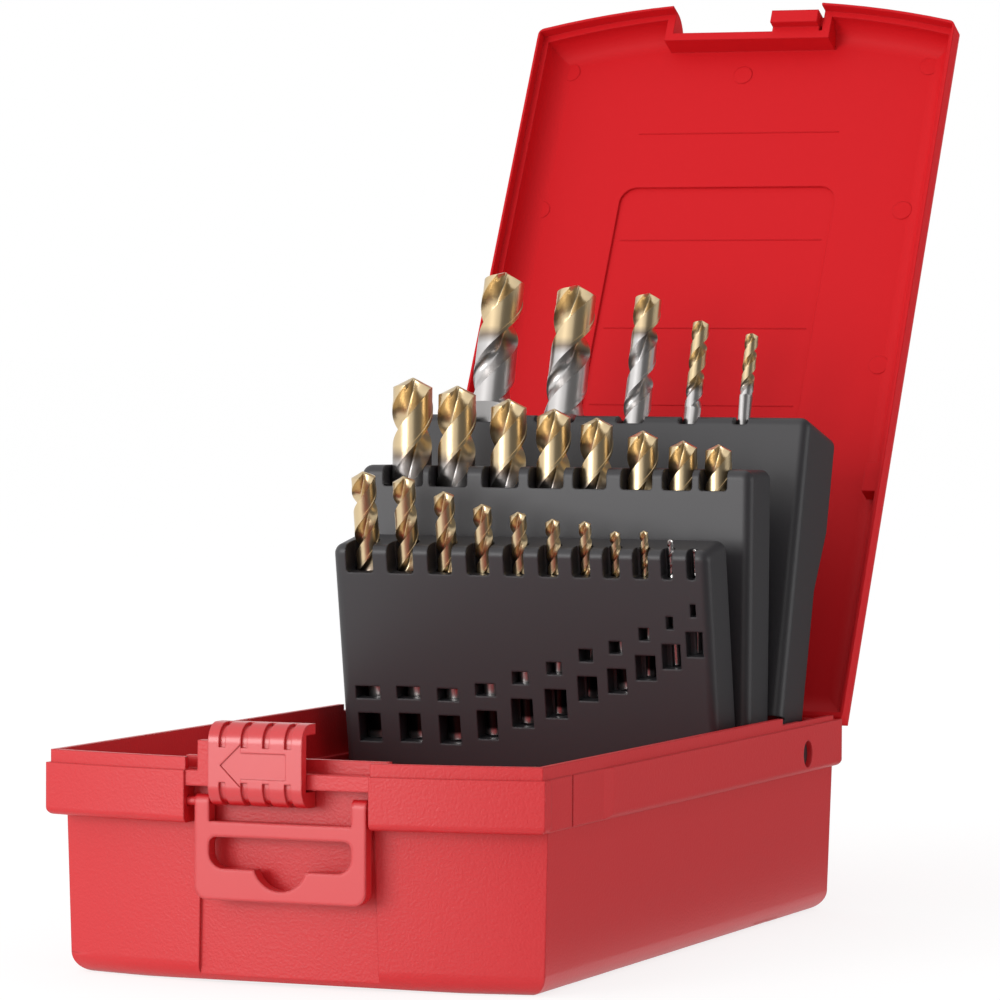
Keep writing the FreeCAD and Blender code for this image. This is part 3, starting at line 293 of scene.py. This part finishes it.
def drill_mesh(name, size, length, flute):
    """A right-hand twist drill that hangs down from its own tip."""
    radius = size / 2
    rise = radius / math.tan(POINT_HALF_ANGLE)
    pitch = 2 * math.pi * radius / math.tan(HELIX_ANGLE)
    flute_end = -(rise + flute)
    run_out = RUN_OUT_SHARE * size
    work = bmesh.new()

    def ring(height, scale=1.0, fluted=1.0, relief=0.0):
        """One ring of corners. With relief it lies on the point's cone, whose flanks fall behind the lips."""
        spin = 2 * math.pi * (height + rise) / pitch + DRILL_TURN
        corners = []
        for place in SECTION:
            angle = math.pi * place + spin
            reach = scale * radius * (fluted * section_radius(place) + 1 - fluted)
            level = height
            if relief:
                fall = relief * ((LAND_SHARE - place) % 1.0) * reach
                level = -reach / math.tan(POINT_HALF_ANGLE) - fall
            corners.append(work.verts.new((reach * math.cos(angle), reach * math.sin(angle), level)))
        return corners

    point_edge = ring(-rise, relief=RELIEF_SHARE)
    inner = point_edge
    for scale in POINT_SCALES:
        smaller = ring(-rise * scale, scale=scale, relief=RELIEF_SHARE)
        bridge(work, smaller, inner)
        inner = smaller
    work.faces.new(inner)

    previous = point_edge
    flute_start = -rise * (1 + RELIEF_SHARE) - FLUTE_START_SHARE * size
    for step in range(FLUTE_RINGS + 1):
        height = flute_start + (flute_end - flute_start) * step / FLUTE_RINGS
        fluted = min(1.0, max(0.0, (height - flute_end) / run_out))
        lower = ring(height, fluted=fluted)
        bridge(work, previous, lower)
        previous = lower

    # One band makes the shank. Its lower ring has the flutes' spin too, so the band twists and draws in.
    shank_end = ring(-length + END_CHAMFER, fluted=0.0)
    bridge(work, previous, shank_end)
    end_face = ring(-length, scale=1 - END_CHAMFER / radius, fluted=0.0)
    bridge(work, shank_end, end_face)
    work.faces.new(reversed(end_face))
    work.normal_update()
    mesh = bpy.data.meshes.new(name)
    work.to_mesh(mesh)
    work.free()
    return mesh


def drill_line(mark):
    """A drill's tip, its direction from shank to tip, and its length, as its CAD node has them."""
    along = Vector(joints["drill_%s_lift" % mark]["axis"])
    corners = [Vector(vertex.co) for vertex in nodes["drill_" + mark].data.vertices]
    reach = [corner.dot(along) for corner in corners]
    top = max(reach)
    bottom = min(reach)
    end_corners = [corner for corner in corners if corner.dot(along) < bottom + END_BAND]
    foot = sum(end_corners, Vector()) / len(end_corners)
    tip = foot + along * (top - foot.dot(along))
    return tip, along, top - bottom


def twist_drill(mark):
    """A finely fluted drill in place of its CAD node. The mark is its size in millimetres."""
    node = "drill_" + mark
    name = "twist_" + mark
    flute, *coat_fades = FLUTES[mark]
    tip, along, length = drill_line(mark)
    material = steel
    if mark not in UNCOATED:
        material = coated_steel("coat_" + mark, coat_fades, length / MM - POCKET_SHADE)
    mesh = drill_mesh(name, float(mark.replace("_", ".")) * MM, length, flute * MM)
    mesh.materials.append(material)
    drill = bpy.data.objects.new(name, mesh)
    scene.collection.objects.link(drill)
    tilt = math.atan2(-along.y, along.z)
    drill.matrix_world = Matrix.Translation(tip) @ Matrix.Rotation(tilt, 4, "X")
    edges = drill.modifiers.new("edges", "EDGE_SPLIT")
    edges.split_angle = SPLIT_ANGLE
    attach(drill, node)
    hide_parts(node)


for mark in FLUTES:
    twist_drill(mark)

# Mould marks inside the lid, drawn with the lid shut and turned open with it

LID_OPEN = math.radians(117.3)
hinge_place = Vector(joints["lid_hinge"]["pos_m"])
lid_turn = (
    Matrix.Translation(hinge_place)
    @ Matrix.Rotation(-LID_OPEN, 4, "X")
    @ Matrix.Translation(-hinge_place))

# Heights of the lid's inner face and of its sunk panel, with the lid shut
LID_FACE = 56.3 * MM
PANEL_FACE = 57.0 * MM
MARK_HEIGHT = 0.12 * MM
EJECTOR_RADIUS = 2.65 * MM
EJECTOR_CORNERS = 40
EJECTORS = ((-51.0, -91.7), (-1.6, -90.0), (50.0, -91.8), (-52.0, -49.4), (49.0, -48.6), (49.5, -3.5))
LINE_HALF_LENGTH = 28.0 * MM
LINE_WIDTH = 0.3 * MM
MOULD_LINES = ((-72.3, LID_FACE), (-40.4, PANEL_FACE), (-14.3, PANEL_FACE), (8.2, PANEL_FACE))
# The keeper block's right end meets the notch's cheek
KEEPER_END_MIDDLE = Vector((20.3, -102.6, 52.4)) * MM
KEEPER_END_SIZE = Vector((1.0, 2.6, 3.6)) * MM


def block(work, middle, size):
    """A box round a middle."""
    bmesh.ops.create_cube(work, size=1.0, matrix=Matrix.Translation(middle) @ Matrix.Diagonal((*size, 1)))


def lid_mark(name, work):
    """Turns a mesh that is drawn with the lid shut into an object on the lid."""
    mesh = bpy.data.meshes.new(name)
    work.normal_update()
    work.to_mesh(mesh)
    work.free()
    mesh.materials.append(lid_plastic)
    mark = bpy.data.objects.new(name, mesh)
    scene.collection.objects.link(mark)
    mark.matrix_world = lid_turn
    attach(mark, "lid")


def ejector_marks():
    """Round marks that the mould's ejectors left on the lid's inner face."""
    work = bmesh.new()
    for across, along in EJECTORS:
        bmesh.ops.create_cone(
            work, cap_ends=True, segments=EJECTOR_CORNERS, radius1=EJECTOR_RADIUS,
            radius2=EJECTOR_RADIUS, depth=2 * MARK_HEIGHT,
            matrix=Matrix.Translation((across * MM, along * MM, LID_FACE)))
    lid_mark("ejector_marks", work)


def mould_lines():
    """Fine raised lines across the lid's inner face and its panel."""
    work = bmesh.new()
    for along, face in MOULD_LINES:
        block(work, (0, along * MM, face), (2 * LINE_HALF_LENGTH, LINE_WIDTH, 2 * MARK_HEIGHT))
    lid_mark("mould_lines", work)


def keeper_end():
    """The end block that joins the keeper to the side of the lid's notch."""
    work = bmesh.new()
    block(work, KEEPER_END_MIDDLE, KEEPER_END_SIZE)
    lid_mark("keeper_end", work)


ejector_marks()
mould_lines()
keeper_end()

# Floor

FLOOR_TONE = (0.86, 0.86, 0.86)
FLOOR_ROUGHNESS = 0.9
FLOOR_SPECULAR = 0.1
FLOOR_SPAN = 40.0
# What a ray straight from the camera meets: a little tone that takes the shadow, and a glow up to white
FLOOR_SHADOW_TONE = (0.25, 0.25, 0.25)
FLOOR_GLOW = 0.8


def seen_directly(tree):
    """One where a ray comes from the camera, a mirror or glass, and none where it carries soft light."""
    path = tree.nodes.new("ShaderNodeLightPath")
    either = tree.nodes.new("ShaderNodeMath")
    either.operation = "MAXIMUM"
    every = tree.nodes.new("ShaderNodeMath")
    every.operation = "MAXIMUM"
    tree.links.new(path.outputs["Is Camera Ray"], either.inputs[0])
    tree.links.new(path.outputs["Is Glossy Ray"], either.inputs[1])
    tree.links.new(either.outputs["Value"], every.inputs[0])
    tree.links.new(path.outputs["Is Transmission Ray"], every.inputs[1])
    return every.outputs["Value"]


def floor_material():
    """A pale floor that looks white beside its own shadow."""
    material, shader, tree = new_material("floor", FLOOR_TONE, FLOOR_ROUGHNESS, specular=FLOOR_SPECULAR)
    pale = tree.nodes.new("ShaderNodeBsdfDiffuse")
    pale.inputs["Color"].default_value = (*FLOOR_SHADOW_TONE, 1)
    glow = tree.nodes.new("ShaderNodeEmission")
    glow.inputs["Color"].default_value = (1, 1, 1, 1)
    glow.inputs["Strength"].default_value = FLOOR_GLOW
    both = tree.nodes.new("ShaderNodeAddShader")
    tree.links.new(pale.outputs["BSDF"], both.inputs[0])
    tree.links.new(glow.outputs["Emission"], both.inputs[1])
    choice = tree.nodes.new("ShaderNodeMixShader")
    tree.links.new(seen_directly(tree), choice.inputs["Fac"])
    tree.links.new(shader.outputs["BSDF"], choice.inputs[1])
    tree.links.new(both.outputs["Shader"], choice.inputs[2])
    tree.links.new(choice.outputs["Shader"], tree.nodes["Material Output"].inputs["Surface"])
    return material


floor_mesh = bpy.data.meshes.new("floor")
floor_mesh.from_pydata(
    [(-FLOOR_SPAN, -FLOOR_SPAN, 0), (FLOOR_SPAN, -FLOOR_SPAN, 0),
     (FLOOR_SPAN, FLOOR_SPAN, 0), (-FLOOR_SPAN, FLOOR_SPAN, 0)], [], [(0, 1, 2, 3)])
floor_mesh.materials.append(floor_material())
floor = bpy.data.objects.new("floor", floor_mesh)
scene.collection.objects.link(floor)

# Room: brighter to the left of the front than to the right of the back

BRIGHT_SIDE = (-0.75, -0.50, 0.43)
ROOM_DIM = 0.10
ROOM_BRIGHT = 1.18
# Gloss and glass see white behind the case, with a soft edge between these two cosines
BACKDROP = (-0.374, 0.927, 0.0)
BACKDROP_EDGE = 0.86
BACKDROP_FULL = 0.93


def towards(tree, way, direction, low, high, least, most):
    """A strength that grows from least to most as the cosine to a direction goes from low to high."""
    dot = tree.nodes.new("ShaderNodeVectorMath")
    dot.operation = "DOT_PRODUCT"
    dot.inputs[1].default_value = direction
    grown = tree.nodes.new("ShaderNodeMapRange")
    for socket, value in zip(("From Min", "From Max", "To Min", "To Max"), (low, high, least, most)):
        grown.inputs[socket].default_value = value
    tree.links.new(way.outputs["Generated"], dot.inputs[0])
    tree.links.new(dot.outputs["Value"], grown.inputs["Value"])
    return grown.outputs["Result"]


def studio():
    """A room that lights the case from its bright side, and that the camera sees as white all round."""
    world = bpy.data.worlds.new("studio")
    world.use_nodes = True
    tree = world.node_tree
    background = tree.nodes["Background"]
    background.inputs["Color"].default_value = (1, 1, 1, 1)
    way = tree.nodes.new("ShaderNodeTexCoord")
    room = towards(tree, way, BRIGHT_SIDE, low=-1, high=1, least=ROOM_DIM, most=ROOM_BRIGHT)
    backdrop = towards(tree, way, BACKDROP, low=BACKDROP_EDGE, high=BACKDROP_FULL, least=0, most=1)
    shown = tree.nodes.new("ShaderNodeMath")
    shown.operation = "MULTIPLY"
    tree.links.new(seen_directly(tree), shown.inputs[0])
    tree.links.new(backdrop, shown.inputs[1])
    path = tree.nodes.new("ShaderNodeLightPath")
    white = tree.nodes.new("ShaderNodeMath")
    white.operation = "MAXIMUM"
    tree.links.new(shown.outputs["Value"], white.inputs[0])
    tree.links.new(path.outputs["Is Camera Ray"], white.inputs[1])
    blend = tree.nodes.new("ShaderNodeMix")
    blend.data_type = "FLOAT"
    blend.inputs["B"].default_value = 1.0
    tree.links.new(white.outputs["Value"], blend.inputs["Factor"])
    tree.links.new(room, blend.inputs["A"])
    tree.links.new(blend.outputs["Result"], background.inputs["Strength"])
    return world


scene.world = studio()

# Lamps, in metres and watts

KEY_PLACE = (-0.78, -1.72, 0.38)
KEY_AIM = (0, 0, 0.08)
KEY_SIZE = (0.9, 0.75)
KEY_POWER = 13
FILL_PLACE = (1.6, 0.5, 0.3)
FILL_AIM = (0, 0, 0.06)
FILL_SIZE = (0.8, 0.6)
FILL_POWER = 7.5
FILL_GLOSS = 0.5


def area_light(name, place, aim, size, power):
    """A flat lamp at a place, turned to what it aims at."""
    data = bpy.data.lights.new(name, "AREA")
    data.shape = "RECTANGLE"
    data.size, data.size_y = size
    data.energy = power
    light = bpy.data.objects.new(name, data)
    scene.collection.objects.link(light)
    place = Vector(place)
    turn = (Vector(aim) - place).to_track_quat("-Z", "Y").to_matrix().to_4x4()
    light.matrix_world = Matrix.Translation(place) @ turn
    return light


area_light("key", KEY_PLACE, KEY_AIM, KEY_SIZE, KEY_POWER)
fill = area_light("fill", FILL_PLACE, FILL_AIM, FILL_SIZE, FILL_POWER)
fill.data.specular_factor = FILL_GLOSS

# A dim card, upright and flat on the right, that only shows in what shines

CARD_ACROSS = 0.26
CARD_FRONT = -0.5
CARD_BACK = 2.4
CARD_HEIGHT = 1.3
CARD_EDGE = 0.066
CARD_LIFT = 0.0004
CARD_GLOW = 0.16


def reflection_card():
    """The card: one upright face, and one that lies on the floor from its foot to the case."""
    upright = [
        (CARD_ACROSS, CARD_FRONT, 0), (CARD_ACROSS, CARD_BACK, 0),
        (CARD_ACROSS, CARD_BACK, CARD_HEIGHT), (CARD_ACROSS, CARD_FRONT, CARD_HEIGHT)]
    flat = [
        (CARD_EDGE, CARD_FRONT, CARD_LIFT), (CARD_ACROSS, CARD_FRONT, CARD_LIFT),
        (CARD_ACROSS, CARD_BACK, CARD_LIFT), (CARD_EDGE, CARD_BACK, CARD_LIFT)]
    mesh = bpy.data.meshes.new("card")
    mesh.from_pydata(upright + flat, [], [(0, 1, 2, 3), (4, 5, 6, 7)])
    material = bpy.data.materials.new("card")
    material.use_nodes = True
    tree = material.node_tree
    emission = tree.nodes.new("ShaderNodeEmission")
    emission.inputs["Strength"].default_value = CARD_GLOW
    tree.links.new(emission.outputs["Emission"], tree.nodes["Material Output"].inputs["Surface"])
    mesh.materials.append(material)
    card = bpy.data.objects.new("card", mesh)
    scene.collection.objects.link(card)
    card.visible_camera = False
    card.visible_transmission = False
    card.visible_diffuse = False
    card.visible_shadow = False
    return card


reflection_card()
